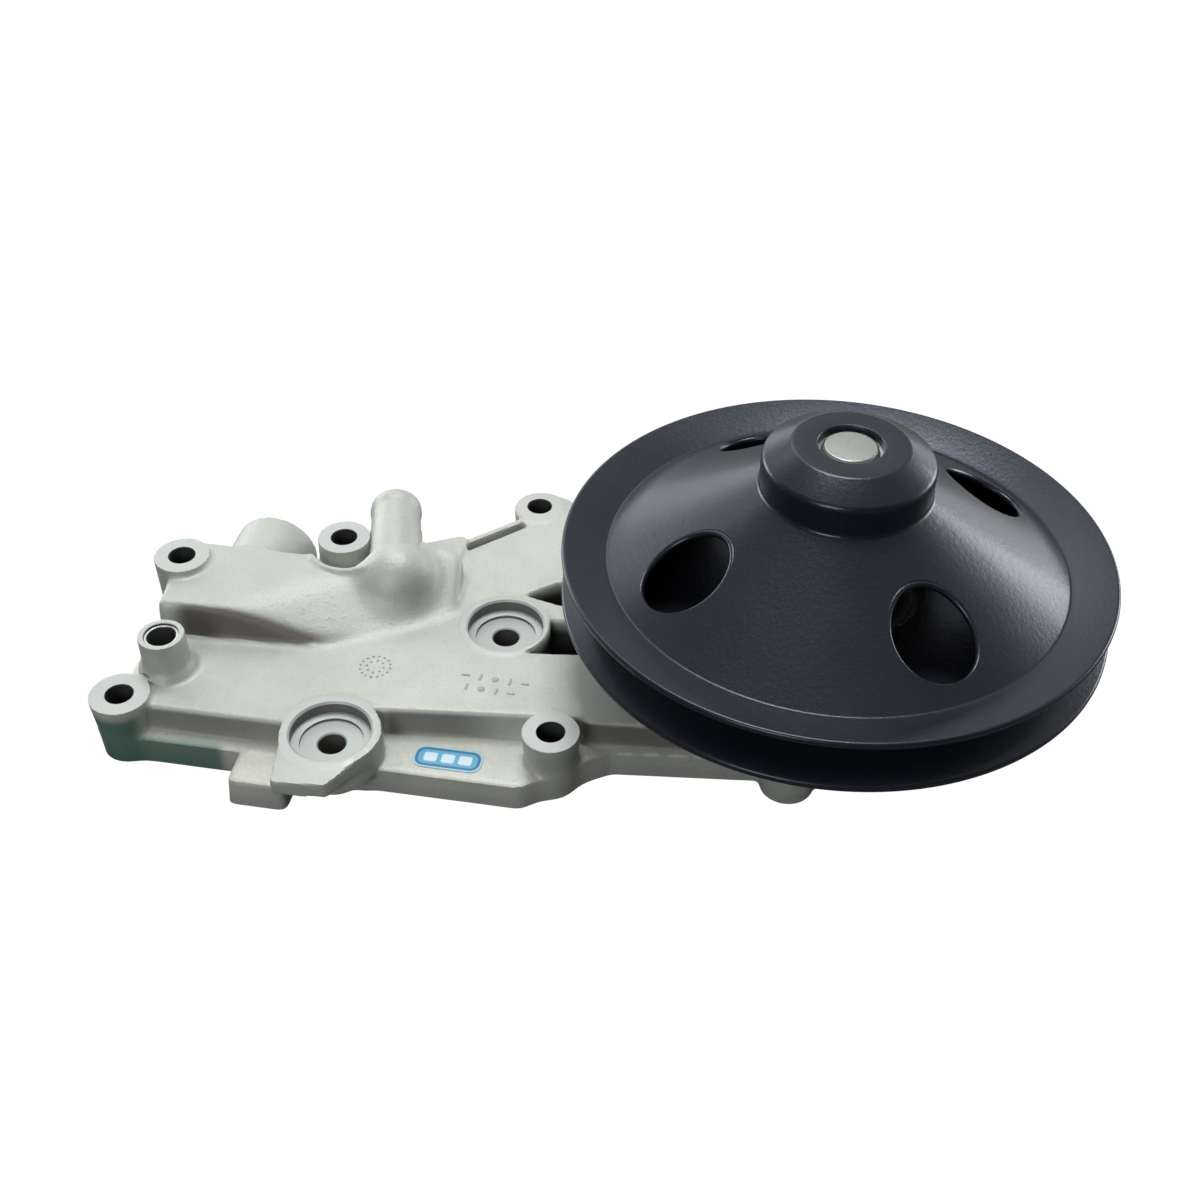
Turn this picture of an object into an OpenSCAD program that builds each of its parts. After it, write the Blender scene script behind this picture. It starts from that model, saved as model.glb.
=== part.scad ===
// Belt-driven coolant pump: a flat cast housing that closes a block's coolant
// passages, with an integral-shaft bearing, a face seal, an impeller and a V-belt pulley.
// Origin: the shaft axis on the gasket plane. +Z points through the pulley,
// +X runs along the front edge of the casting, away from its outlets.

/* [Pulley] */
// Outer radius of both belt flanges
pulley_r = 80; // [78:0.5:82]
// Thickness of the pulley's steel sheet
sheet_t = 2.3; // [2:0.1:2.6]
// Radius of each round window in the cone
window_r = 11.5; // [11:0.1:13]
// Number of windows
window_count = 4; // [3:1:5]

/* [Housing] */
// Thickness of the flange round the gasket face
flange_t = 9; // [8:0.5:10]
// Height of the main deck
deck_z = 19; // [18:0.5:20]
// Height of the raised water channel
channel_z = 29; // [28:0.5:30]
// Thickness of the cast walls
wall = 4.5; // [4:0.5:5]
// Radius of the bolt holes
bolt_hole_r = 4.1; // [3.9:0.1:4.3]

/* [Shaft and bearing] */
// Radius of the shaft
shaft_r = 7.96; // [7.9:0.01:8]
// Outer radius of the bearing ring
bearing_r = 15; // [15:0.1:15.5]
// Radius of each ball
ball_r = 3.1; // [3:0.05:3.2]
// Number of balls in a row
ball_count = 8; // [6:1:9]

/* [Impeller] */
// Outer radius of the impeller
impeller_r = 29.5; // [27:0.5:30]
// Number of blades
blade_count = 6; // [5:1:8]

/* [Hidden] */

$fn = 96;
cast_grey = [0.78, 0.79, 0.76];
gloss_black = [0.08, 0.08, 0.1];
bright_steel = [0.7, 0.7, 0.68];
seal_black = [0.12, 0.12, 0.12];

// Pulley profile: cone, step and belt flanges
shell_top_z = 95.9;
shell_top_r = 16.4;
neck_r = 24.4;
neck_top_z = 91.1;
cone_top_z = 81.8;
cone_foot = [66.8, 56];
flange_in = [68.2, 56.4];
flange_edge_z = 60;
lower_edge_z = 41.7;
groove_r = 68.5;
groove_z = [47.5, 54.2];
window_pitch_r = 49;
window_turn = 33;
shaft_window_r = 9.2;

// Hub in steps of [r, start z]: press barrel, flange inside the neck, nose under the top
hub_steps = [[14, 67], [20.5, 80], [15.5, 90.5]];
// Support band behind the groove's floor
band_in_r = groove_r - 2.4;
band_out_r = groove_r - 0.4;
band_top_z = groove_z[1] - 0.2;
// Web of the lower sheet, which closes the pulley's underside round the bearing tower
web_in_r = 26.3;

// Shaft, bearing and seal stack, from the impeller up
shaft_z = [2.5, 95.1];
tower_foot_r = 26;
tower_top_r = 21.5;
tower_top_z = 64.5;
rib_t = 5;
rib_profile = [[15, deck_z - 1], [35, deck_z - 1], [35, deck_z + 1], [21, 54], [15, 54]];
lock_z = 47;
lock_turn = 50;
lock_r = 3;
lock_len = 7;
bearing_z = [31, 63];
row_z = [39, 55];
groove_depth = 0.4;
ball_pitch_r = shaft_r + ball_r - groove_depth;
ring_in_r = ball_pitch_r + ball_r - groove_depth;
race_r = ball_r + 0.06;
lip_r = shaft_r + 0.06;
seal_bore_r = 18;
seal_top_z = 27.3;
seal_shoulder_r = 13.4;
weep_r = 2.5;
weep_z = 29.2;
chamber_r = 31.5;
chamber_z = 14;
disc_z = [10, 12];
seat_z = [13, 17];
face_gap = 0.05;

// Bolt bosses as [x, y, top z, outer r]
tall_bosses = [
    [-203.8, -56.3, 20.3, 9.1],
    [-203.2, -3.3, 31.3, 8.8],
    [-155.5, 14.8, 31.3, 8.7],
    [-75.5, -49.8, 20.3, 8.6],
    [-100.2, 58.7, 19.4, 8.8]
];
low_bosses = [[-6.8, -39.3, 12, 8], [44, 6, 12, 8], [6, 44, 12, 8]];
spotface_r = 6.8;
// Counterbored bolt places as [x, y, rim r]
sunk_bosses = [[-98.7, -4, 14], [-138.8, -58.6, 14.9]];
sink_r = 11.8;
sink_z = 13.4;
column_r = 8;
// Tube that takes the guide sleeve, as [x, y, top z, outer r]
guide = [-195.2, -40.5, 31.3, 7];
guide_in_r = 5.2;
guide_wall = 0.9;

// Outlets on the back
stub_x = -183;
stub_z = 14.6;
stub_r = 13.8;
stub_in_r = 10.6;
stub_y = 25;
spigot_root = [-140, 20, 27];
spigot_turn = 15;
spigot_r = 8.2;
spigot_in_r = 6;
spigot_len = 20;
// Pressed-in end, a step wider than the part the hose goes on
spigot_sunk = 12;
spigot_press_r = 8.5;
spigot_step = 4;
// Where the spigot's bore turns down into the gallery, measured along its axis
elbow_s = -17;
elbow_at = [
    spigot_root[0] - elbow_s * sin(spigot_turn), spigot_root[1] + elbow_s * cos(spigot_turn)
];

module ring(r_out, r_in, z0, z1) {
    translate([0, 0, z0]) difference() {
        cylinder(r = r_out, h = z1 - z0);
        translate([0, 0, -1]) cylinder(r = r_in, h = z1 - z0 + 2);
    }
}

module disc_at(x, y, r) {
    translate([x, y]) circle(r = r);
}

module gasket_outline() {
    polygon([
        [-211.5, -56.3], [-203.8, -62.6], [-82.4, -62.6], [-60.3, -45], [-24.8, -41],
        [-10, -30], [30, 0], [30, 34], [-30, 40], [-92, 66], [-104, 66], [-128, 38], [-128, 10],
        [-203.2, 5.4], [-211.5, -3.3]
    ]);
    circle(r = 39.5);
    for (b = concat(tall_bosses, low_bosses)) disc_at(b[0], b[1], min(b[3], 8.4));
    // Foot in front of the flange
    translate([-167, -75]) square([18.5, 15]);
    disc_at(guide[0], guide[1], guide[3] + 1.2);
}

module deck_outline() {
    polygon([
        [-206, -31], [-196, -56], [-156, -58.5], [-124, -50.3], [-84, -46], [-50, -43],
        [-20, -39], [30, 0], [28, 32], [-30, 37], [-92, 62], [-104, 62], [-122, 36], [-132, 20],
        [-164, 7.5], [-200, 6], [-205, -4]
    ]);
    circle(r = 36);
    disc_at(-97.5, 58, 9.5);
    disc_at(guide[0], guide[1], guide[3] + 2);
}

// Flat lobe in front of the sunk bolt place, level with its rim
module lobe_outline() {
    polygon([
        [-153.6, -58], [-149.5, -81], [-133.4, -79.5], [-130, -73], [-124.6, -64], [-124, -58]
    ]);
}

// Raised channel, highest on the left and back, that runs out on the deck
module channel_outline() {
    polygon([
        [-203, -3], [-199, -24], [-172, -24], [-162, -28], [-152, -27], [-143, -20],
        [-134, -6], [-126, 6], [-122, 20], [-130, 23], [-150, 19], [-160, 8], [-200, 8]
    ]);
}

module gallery_outline() {
    polygon([
        [-184, -52], [-160, -53], [-152, -40], [-126, -38], [-112, -42], [-92, -37],
        [-60, -36], [-22, -22], [-22, -6], [-34, -9], [-50, -16], [-82, -18], [-112, -22],
        [-122, -14], [-128, 2], [-144, 4], [-187, 3.5], [-190, 0], [-190, -28], [-184, -34]
    ]);
}

module back_pockets() {
    polygon([[-91, 13], [-84, 19], [-46, 22], [-42, 12], [-82, 9]]);
    polygon([[-83, 0], [-42, 4], [-41, -7], [-82, -13.5], [-86, -12]]);
}

module bearing_tower() {
    translate([0, 0, deck_z - 2])
        cylinder(r1 = tower_foot_r, r2 = tower_top_r, h = tower_top_z - deck_z + 2);
    for (a = [20 : 60 : 320])
        rotate([0, 0, a]) translate([0, -rib_t / 2, 0]) rotate([90, 0, 0]) mirror([0, 0, 1])
            linear_extrude(rib_t) polygon(rib_profile);
}

module outlet_stub() {
    translate([stub_x, -4, stub_z]) rotate([-90, 0, 0]) cylinder(r = stub_r, h = stub_y + 4);
}

module spigot_axis() {
    translate(spigot_root) rotate([0, 0, spigot_turn]) rotate([-90, 0, 0]) children();
}

module spigot_boss() {
    spigot_axis() translate([0, 0, elbow_s - 6]) cylinder(r = 10, h = 7 - elbow_s);
    translate([elbow_at[0], elbow_at[1], 0]) cylinder(r = 12, h = spigot_root[2] + 9);
}

module housing_solid() {
    linear_extrude(flange_t) gasket_outline();
    linear_extrude(deck_z) deck_outline();
    linear_extrude(channel_z) channel_outline();
    for (b = tall_bosses) translate([b[0], b[1], 0]) cylinder(r = b[3], h = b[2]);
    for (b = low_bosses) translate([b[0], b[1], 0]) cylinder(r = b[3], h = b[2]);
    for (b = sunk_bosses) translate([b[0], b[1], 0]) {
        cylinder(r = column_r, h = deck_z);
        translate([0, 0, 8]) cylinder(r = b[2], h = deck_z - 8);
    }
    translate([0, 0, sink_z]) linear_extrude(deck_z - sink_z) lobe_outline();
    translate([guide[0], guide[1], 0]) cylinder(r = guide[3], h = guide[2]);
    bearing_tower();
    outlet_stub();
    spigot_boss();
    // Rib along the back edge, beyond the slot
    translate([-126.4, 36.6, 0]) rotate([0, 0, 37]) cube([26, 3, deck_z + 1.5]);
}

module bolt_holes() {
    for (b = concat(tall_bosses, low_bosses, sunk_bosses))
        translate([b[0], b[1], -1]) cylinder(r = bolt_hole_r, h = 40);
    for (b = sunk_bosses) translate([b[0], b[1], sink_z]) cylinder(r = sink_r, h = 20);
    for (b = low_bosses) translate([b[0], b[1], b[2]]) cylinder(r = spotface_r, h = 20);
    translate([guide[0], guide[1], -1]) cylinder(r = guide_in_r, h = 40);
}

module water_passages() {
    difference() {
        union() {
            translate([0, 0, -1]) linear_extrude(1 + deck_z - wall) gallery_outline();
            translate([0, 0, -1]) linear_extrude(1 + channel_z - wall) intersection() {
                gallery_outline();
                offset(delta = -wall) channel_outline();
            }
        }
        for (b = sunk_bosses) translate([b[0], b[1], -2]) cylinder(r = b[2] - 4, h = 40);
    }
    translate([0, 0, -1]) cylinder(r = chamber_r, h = 1 + chamber_z);
    translate([stub_x, -12, stub_z]) rotate([-90, 0, 0]) cylinder(r = stub_in_r, h = 50);
    spigot_axis() translate([0, 0, elbow_s]) cylinder(r = spigot_in_r, h = 40);
    translate([elbow_at[0], elbow_at[1], -1]) cylinder(r = spigot_in_r, h = spigot_root[2] + 4);
}

module bearing_and_seal_bores() {
    translate([0, 0, 5]) cylinder(r = seal_bore_r, h = seal_top_z - 5);
    translate([0, 0, seal_top_z - 5]) cylinder(r = seal_shoulder_r, h = 20);
    translate([0, 0, bearing_z[0]]) cylinder(r = bearing_r, h = 60);
    translate([0, 0, weep_z]) rotate([90, 0, 0]) cylinder(r = weep_r, h = 45);
    translate([0, 0, lock_z]) rotate([0, 90, lock_turn]) cylinder(r = lock_r, h = 45);
}

module pump_housing() {
    color(cast_grey) difference() {
        housing_solid();
        bolt_holes();
        water_passages();
        bearing_and_seal_bores();
        spigot_axis() translate([0, 0, -spigot_sunk]) cylinder(r = spigot_press_r, h = 60);
        translate([0, 0, 4]) linear_extrude(40) back_pockets();
        // Slot between the back edge's rib and the deck
        translate([-122, 34.6, 12]) rotate([0, 0, 42]) cube([21, 2.2, 20]);
        // Flat of the machined gasket face
        translate([-300, -200, -20]) cube([500, 400, 20]);
    }
}

module hose_spigot() {
    tip = spigot_len;
    bead = 0.08;
    color(cast_grey) spigot_axis() rotate_extrude() polygon([
        [spigot_in_r, -spigot_sunk], [spigot_press_r, -spigot_sunk],
        [spigot_press_r, spigot_step], [spigot_r, spigot_step], [spigot_r, tip - 6],
        [spigot_r + bead, tip - 4.6], [spigot_r + bead, tip - 3], [spigot_r - 0.4, tip - 0.8],
        [spigot_r - 1, tip], [spigot_in_r, tip]
    ]);
}

module guide_sleeve() {
    color(bright_steel) translate([guide[0], guide[1], 0])
        ring(guide_in_r, guide_in_r - guide_wall, 0, guide[2] - 1);
}

module bearing_lock_screw() {
    socket_r = 1.7;
    start = bearing_r + 0.1;
    color(bright_steel) translate([0, 0, lock_z]) rotate([0, 90, lock_turn]) difference() {
        translate([0, 0, start]) cylinder(r = lock_r, h = lock_len);
        translate([0, 0, start + lock_len - 3]) cylinder(r = socket_r, h = 9, $fn = 6);
    }
}

module weep_hole_filter() {
    color("dimgray") translate([0, 0, weep_z]) rotate([90, 0, 0]) translate([0, 0, 20])
        cylinder(r = weep_r, h = 4);
}

module blank_label() {
    color("lightsteelblue") translate([-105.2, -55, flange_t]) linear_extrude(0.4)
        union() {
            square([12, 8.6], center = true);
            for (side = [-1, 1]) disc_at(side * 6, 0, 4.3);
        }
}

module race_groove(z) {
    translate([0, 0, z]) rotate_extrude() translate([ball_pitch_r, 0]) circle(r = race_r, $fn = 48);
}

module bearing_outer_ring() {
    color(bright_steel) difference() {
        ring(bearing_r, ring_in_r, bearing_z[0], bearing_z[1]);
        for (z = row_z) race_groove(z);
    }
}

module lip_seal(z) {
    color(seal_black) ring(ring_in_r, lip_r, z, z + 1.6);
}

module balls(z) {
    color(bright_steel) for (i = [0 : ball_count - 1]) rotate([0, 0, i * 360 / ball_count])
        translate([ball_pitch_r, 0, z]) sphere(r = ball_r, $fn = 48);
}

module cage(z, side) {
    z0 = side > 0 ? z - 0.9 : z - 4.3;
    color("tan") difference() {
        ring(ball_pitch_r + 1.35, ball_pitch_r - 1.35, z0, z0 + 5.2);
        for (i = [0 : ball_count - 1]) rotate([0, 0, i * 360 / ball_count])
            translate([ball_pitch_r, 0, z]) sphere(r = ball_r + 0.08, $fn = 48);
    }
}

module seal_cup() {
    color("goldenrod") rotate_extrude() polygon([
        [9.8, seal_top_z - 0.8], [17.2, seal_top_z - 0.8], [17.2, chamber_z - 0.8],
        [20, chamber_z - 0.8], [20, chamber_z], [seal_bore_r, chamber_z],
        [seal_bore_r, seal_top_z], [9.8, seal_top_z]
    ]);
}

module seal_bellows() {
    color(seal_black) rotate_extrude() polygon([
        [9.2, 21.6], [13, 21.6], [13, 22.6], [11.4, 23.2], [11.4, 24.4], [13, 25.2], [13, 26.5],
        [9.2, 26.5], [9.2, 25.6], [10.2, 24.9], [10.2, 22.9], [9.2, 22.3]
    ]);
}

function coil_point(t, turns, r, z0, z1) =
    [r * cos(360 * turns * t), r * sin(360 * turns * t), z0 + (z1 - z0) * t];

module seal_spring() {
    turns = 3;
    steps = 20 * turns;
    sides = 6;
    coil_r = 15;
    wire_r = 0.7;
    rings = [for (i = [0 : steps]) let (c = coil_point(i / steps, turns, coil_r, 20.3, 25.6))
        for (k = [0 : sides - 1]) let (a = 360 * k / sides, turn = 360 * turns * i / steps)
            [c[0] + wire_r * cos(a) * cos(turn), c[1] + wire_r * cos(a) * sin(turn),
             c[2] + wire_r * sin(a)]];
    sides_faces = [for (i = [0 : steps - 1]) for (k = [0 : sides - 1])
        let (a = i * sides + k, b = i * sides + (k + 1) % sides)
            each [[a, b, a + sides], [b, b + sides, a + sides]]];
    color(bright_steel) polyhedron(rings, concat(
        sides_faces,
        [[for (k = [sides - 1 : -1 : 0]) k]],
        [[for (k = [0 : sides - 1]) steps * sides + k]]
    ));
}

module seal_drive_band() {
    color(bright_steel) rotate_extrude() polygon([
        [13.3, 18.8], [16.6, 18.8], [16.6, 19.5], [14, 19.5], [14, 22.4], [13.3, 22.4]
    ]);
}

module carbon_ring() {
    color([0.2, 0.2, 0.22]) rotate_extrude() polygon([
        [9.8, seat_z[1] + face_gap], [12.2, seat_z[1] + face_gap], [12.2, 18.8], [13.3, 18.8],
        [13.3, 21.6], [9.8, 21.6]
    ]);
}

module pump_shaft() {
    chamfer = 0.6;
    color(bright_steel) difference() {
        rotate_extrude() polygon([
            [0, shaft_z[0]], [shaft_r - chamfer, shaft_z[0]], [shaft_r, shaft_z[0] + chamfer],
            [shaft_r, shaft_z[1] - chamfer], [shaft_r - chamfer, shaft_z[1]], [0, shaft_z[1]]
        ]);
        for (z = row_z) race_groove(z);
    }
}

module pulley_hub() {
    color(bright_steel) difference() {
        union() {
            translate([0, 0, hub_steps[0][1]])
                cylinder(r = hub_steps[0][0], h = shell_top_z - sheet_t - hub_steps[0][1]);
            translate([0, 0, hub_steps[1][1]])
                cylinder(r = hub_steps[1][0], h = hub_steps[2][1] - hub_steps[1][1]);
            translate([0, 0, hub_steps[1][1]])
                cylinder(r = hub_steps[2][0], h = shell_top_z - sheet_t - hub_steps[1][1]);
        }
        translate([0, 0, hub_steps[0][1] - 1]) cylinder(r = shaft_r, h = 40);
    }
}

module pulley_shell() {
    cone = cone_foot - [neck_r, cone_top_z];
    inward = [cone[1], -cone[0]] / norm(cone) * sheet_t;
    color(gloss_black) difference() {
        rotate_extrude() polygon([
            [shaft_window_r, shell_top_z], [shell_top_r, shell_top_z], [neck_r, neck_top_z],
            [neck_r, cone_top_z], cone_foot, flange_in, [pulley_r, flange_edge_z],
            [pulley_r, flange_edge_z - sheet_t], [groove_r, groove_z[1]],
            cone_foot + inward,
            [neck_r - sheet_t, cone_top_z + inward[1] + 0.6],
            [neck_r - sheet_t, neck_top_z - 1.3], [shell_top_r - 0.7, shell_top_z - sheet_t],
            [shaft_window_r, shell_top_z - sheet_t]
        ]);
        for (i = [0 : window_count - 1]) rotate([0, 0, window_turn + i * 360 / window_count])
            translate([window_pitch_r, 0, 40]) cylinder(r = window_r, h = 50);
    }
}

module groove_band() {
    color(gloss_black) ring(band_out_r, band_in_r, groove_z[0], band_top_z);
}

module pulley_lower_flange() {
    color(gloss_black) rotate_extrude() polygon([
        [web_in_r, groove_z[0]], [groove_r, groove_z[0]], [pulley_r, lower_edge_z + sheet_t],
        [pulley_r, lower_edge_z], [groove_r - 0.5, groove_z[0] - sheet_t],
        [web_in_r, groove_z[0] - sheet_t]
    ]);
}

module slinger() {
    color(seal_black) rotate_extrude() polygon([
        [shaft_r, 27.9], [11.6, 27.6], [11.6, 28.4], [9.4, 29], [9.4, 30.2], [shaft_r, 30.2]
    ]);
}

module seat_grommet() {
    color(seal_black) rotate_extrude() polygon([
        [shaft_r, disc_z[1]], [14.6, disc_z[1]], [14.6, 16.4], [13.1, 16.4], [13.1, seat_z[0]],
        [shaft_r, seat_z[0]]
    ]);
}

module ceramic_seat() {
    color("ivory") ring(13.1, 9.4, seat_z[0], seat_z[1]);
}

// Blade that leans back along an arc from the hub to the rim
module blade() {
    arc_r = 22;
    thick = 2.2;
    intersection() {
        translate([9, -arc_r + 2]) difference() {
            circle(r = arc_r);
            circle(r = arc_r - thick);
        }
        difference() {
            circle(r = impeller_r - 0.6);
            circle(r = 9);
        }
        translate([4, -20]) square([40, 40]);
    }
}

module impeller() {
    color("silver") difference() {
        union() {
            translate([0, 0, disc_z[0]]) cylinder(r = impeller_r, h = disc_z[1] - disc_z[0]);
            translate([0, 0, shaft_z[0]]) cylinder(r = 11, h = disc_z[1] - shaft_z[0]);
            translate([0, 0, 1.6]) linear_extrude(disc_z[0] - 1)
                for (i = [0 : blade_count - 1]) rotate([0, 0, i * 360 / blade_count]) blade();
        }
        translate([0, 0, -1]) cylinder(r = shaft_r, h = 20);
    }
}

pump_housing();
hose_spigot();
guide_sleeve();
bearing_lock_screw();
weep_hole_filter();
blank_label();
bearing_outer_ring();
lip_seal(bearing_z[1] - 1.6);  // bearing_seal_pulley_side
lip_seal(bearing_z[0]);  // bearing_seal_impeller_side
seal_cup();
seal_bellows();
seal_spring();
seal_drive_band();
carbon_ring();
pump_shaft();
pulley_hub();
pulley_shell();
groove_band();
pulley_lower_flange();
slinger();
seat_grommet();
ceramic_seat();
impeller();
balls(row_z[1]);  // balls_pulley_side
cage(row_z[1], 1);  // cage_pulley_side
balls(row_z[0]);  // balls_impeller_side
cage(row_z[0], -1);  // cage_impeller_side
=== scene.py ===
import math

import bmesh
import bpy
from mathutils import Matrix, Vector


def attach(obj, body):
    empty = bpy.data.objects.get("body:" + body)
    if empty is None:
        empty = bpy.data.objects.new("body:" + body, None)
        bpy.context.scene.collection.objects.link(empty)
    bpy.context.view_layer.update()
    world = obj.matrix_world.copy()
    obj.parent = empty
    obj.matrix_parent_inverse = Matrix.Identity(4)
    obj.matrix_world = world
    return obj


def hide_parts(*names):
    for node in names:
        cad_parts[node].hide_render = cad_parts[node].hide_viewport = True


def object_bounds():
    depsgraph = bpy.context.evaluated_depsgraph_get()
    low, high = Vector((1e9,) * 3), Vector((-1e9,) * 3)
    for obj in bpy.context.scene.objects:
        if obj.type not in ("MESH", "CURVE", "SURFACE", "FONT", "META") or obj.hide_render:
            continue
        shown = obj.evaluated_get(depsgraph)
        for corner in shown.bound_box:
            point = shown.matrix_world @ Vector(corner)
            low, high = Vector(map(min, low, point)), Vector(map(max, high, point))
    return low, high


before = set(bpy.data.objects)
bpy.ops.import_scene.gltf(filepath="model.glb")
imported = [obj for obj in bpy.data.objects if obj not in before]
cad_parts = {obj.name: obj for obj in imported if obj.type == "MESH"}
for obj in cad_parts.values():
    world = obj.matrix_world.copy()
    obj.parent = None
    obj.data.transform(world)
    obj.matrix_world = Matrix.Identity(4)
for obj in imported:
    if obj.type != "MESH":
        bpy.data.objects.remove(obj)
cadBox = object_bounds()
print("frame loaded:", len(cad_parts), "nodes")

mm = 0.001


class Wire:
    # A socket that can be used in sums: every operator adds one Math node to its graph
    def __init__(self, graph, socket):
        self.graph = graph
        self.socket = socket

    def math(self, operation, *values):
        sockets = dict(enumerate((self, *values)))
        return self.graph.node("ShaderNodeMath", {"operation": operation}, sockets)

    def __add__(self, other):
        return self.math("ADD", other)

    def __sub__(self, other):
        return self.math("SUBTRACT", other)

    def __rsub__(self, other):
        return (self * -1) + other

    def __mul__(self, other):
        return self.math("MULTIPLY", other)

    def __truediv__(self, other):
        return self.math("DIVIDE", other)

    def __rtruediv__(self, other):
        return self.math("POWER", -1) * other

    def __neg__(self):
        return self * -1

    def least(self, other, blend=0):
        return self.math("SMOOTH_MIN", other, blend) if blend else self.math("MINIMUM", other)

    def most(self, other, blend=0):
        return self.math("SMOOTH_MAX", other, blend) if blend else self.math("MAXIMUM", other)

    def fit(self, low, high, toLow=0.0, toHigh=1.0):
        sockets = {"Value": self, "From Min": low, "From Max": high, "To Min": toLow, "To Max": toHigh}
        return self.graph.node("ShaderNodeMapRange", {"interpolation_type": "SMOOTHSTEP"}, sockets)


class Graph:
    def __init__(self, tree):
        self.tree = tree
        tree.nodes.clear()

    # Any node: its settings are set first, then the values or links of its sockets
    def node(self, kind, settings=None, sockets=None, out=0):
        made = self.tree.nodes.new(kind)
        for name, value in (settings or {}).items():
            setattr(made, name, value)
        for name, value in (sockets or {}).items():
            socket = made.inputs[name]
            if isinstance(value, Wire):
                self.tree.links.new(value.socket, socket)
            else:
                socket.default_value = value
        return Wire(self, made.outputs[out]) if len(made.outputs) else made

    def split(self, wire):
        parts = self.node("ShaderNodeSeparateXYZ", {}, {0: wire}).socket.node
        return [Wire(self, socket) for socket in parts.outputs]


def pieceFor(piece, body, node):
    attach(piece, body)
    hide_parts(node)
    return piece


# A geometry tree with its inputs as {name: kind}, the graph that fills it and the given values
def newTree(name, inputs):
    tree = bpy.data.node_groups.new(name, "GeometryNodeTree")
    graph = Graph(tree)
    for title, kind in inputs.items():
        tree.interface.new_socket(name=title, in_out="INPUT", socket_type=f"NodeSocket{kind}")
    tree.interface.new_socket(name="Geometry", in_out="OUTPUT", socket_type="NodeSocketGeometry")
    entry = tree.nodes.new("NodeGroupInput")
    return tree, graph, {socket.name: Wire(graph, socket) for socket in entry.outputs if socket.name}


def newObject(name, mesh):
    made = bpy.data.objects.new(name, mesh)
    bpy.context.scene.collection.objects.link(made)
    return made


def meshFromBmesh(name, work, smooth=True):
    mesh = bpy.data.meshes.new(name)
    work.to_mesh(mesh)
    work.free()
    for face in mesh.polygons:
        face.use_smooth = smooth
    return mesh


# Corners as (r, z) or (r, z, fillet); every fillet becomes an arc
def roundedProfile(corners, arcSteps=5):
    points = []
    count = len(corners)
    for i, corner in enumerate(corners):
        here = Vector(corner[:2])
        fillet = corner[2] if len(corner) > 2 else 0
        before = Vector(corners[i - 1][:2]) - here
        after = Vector(corners[(i + 1) % count][:2]) - here
        if not fillet:
            points.append(here)
            continue
        angle = before.angle(after)
        reach = min(fillet / math.tan(angle / 2), before.length * 0.49, after.length * 0.49)
        radius = reach * math.tan(angle / 2)
        inward = (before.normalized() + after.normalized()).normalized()
        middle = here + inward * radius / math.sin(angle / 2)
        start = here + before.normalized() * reach - middle
        end = here + after.normalized() * reach - middle
        turn = math.atan2(start.x * end.y - start.y * end.x, start.dot(end))
        for k in range(arcSteps + 1):
            spin = Matrix.Rotation(turn * k / arcSteps, 2)
            points.append(middle + spin @ start)
    return points


# Band of faces between two closed rows with as many points
def bridge(work, low, high):
    count = len(low)
    for k in range(count):
        n = (k + 1) % count
        work.faces.new((low[k], low[n], high[n], high[k]))


# Closed ring or solid of revolution about an axis placed by a matrix, sizes in mm
def lathe(work, profile, segments, place=Matrix.Identity(4)):
    rings = []
    for point in profile:
        r, h = max(point.x, 0), point.y
        if r < 1e-6:
            rings.append([work.verts.new(place @ Vector((0, 0, h)) * mm)])
            continue
        ring = []
        for k in range(segments):
            a = 2 * math.pi * k / segments
            ring.append(work.verts.new(place @ Vector((r * math.cos(a), r * math.sin(a), h)) * mm))
        rings.append(ring)
    count = len(rings)
    for i in range(count):
        low, high = rings[i], rings[(i + 1) % count]
        if len(low) == len(high) == 1:
            continue
        if len(low) == len(high):
            bridge(work, low, high)
            continue
        for k in range(segments):
            n = (k + 1) % segments
            if len(low) == 1:
                work.faces.new((low[0], high[n], high[k]))
            else:
                work.faces.new((low[k], low[n], high[0]))


def latheObject(name, corners, segments=192, place=Matrix.Identity(4), arcSteps=5):
    work = bmesh.new()
    lathe(work, roundedProfile(corners, arcSteps), segments, place)
    bmesh.ops.recalc_face_normals(work, faces=work.faces[:])
    return newObject(name, meshFromBmesh(name, work))


def applyModifiers(piece):
    shown = bpy.context.evaluated_depsgraph_get()
    solid = bpy.data.meshes.new_from_object(piece.evaluated_get(shown))
    piece.modifiers.clear()
    old = piece.data
    piece.data = solid
    solid.name = piece.name
    bpy.data.meshes.remove(old)
    return piece


def cutWith(piece, tool):
    cut = piece.modifiers.new("cut", "BOOLEAN")
    cut.operation = "DIFFERENCE"
    cut.solver = "MANIFOLD"
    cut.object = tool
    applyModifiers(piece)
    bpy.data.objects.remove(tool, do_unlink=True)


def shadeByAngle(piece, degrees=32):
    mesh = piece.data
    mesh.polygons.foreach_set("use_smooth", [True] * len(mesh.polygons))
    mesh.set_sharp_from_angle(angle=math.radians(degrees))


# The camera's place, lens and film are in mm, the floor, the lamps and their target in m
stage = {"cameraAt": (-13.7, -352.0, 328.8), "heading": 9.0, "pitch": 49.99, "roll": 0.686, "lens": 45.25,
         "film": 36, "nearest": 0.01, "floorSize": 6.0, "floorGap": 0.0002, "floorTone": 0.14,
         "floorWhite": 1.06, "floorShown": 0.97, "target": (-0.05, 0.0, 0.03), "panelSize": 0.5,
         "panelColour": (0.9, 0.97, 1.0), "skyColour": (0.97, 0.985, 1, 1)}
skyLight = {"front": 0.10, "back": 0.30, "horizon": 2.0, "overhead": 0.2, "left": 2.0}
# Square lamps as (name, place, power)
panels = [("keyPanel", (-0.12, 0.32, 1.2), 9.6), ("rightPanel", (1.0, 0.75, 0.3), 5.0),
          ("leftPanel", (-1.1, 0.6, 0.28), 3.9), ("frontPanel", (-0.4, -1.2, 0.65), 5.5)]


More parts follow.
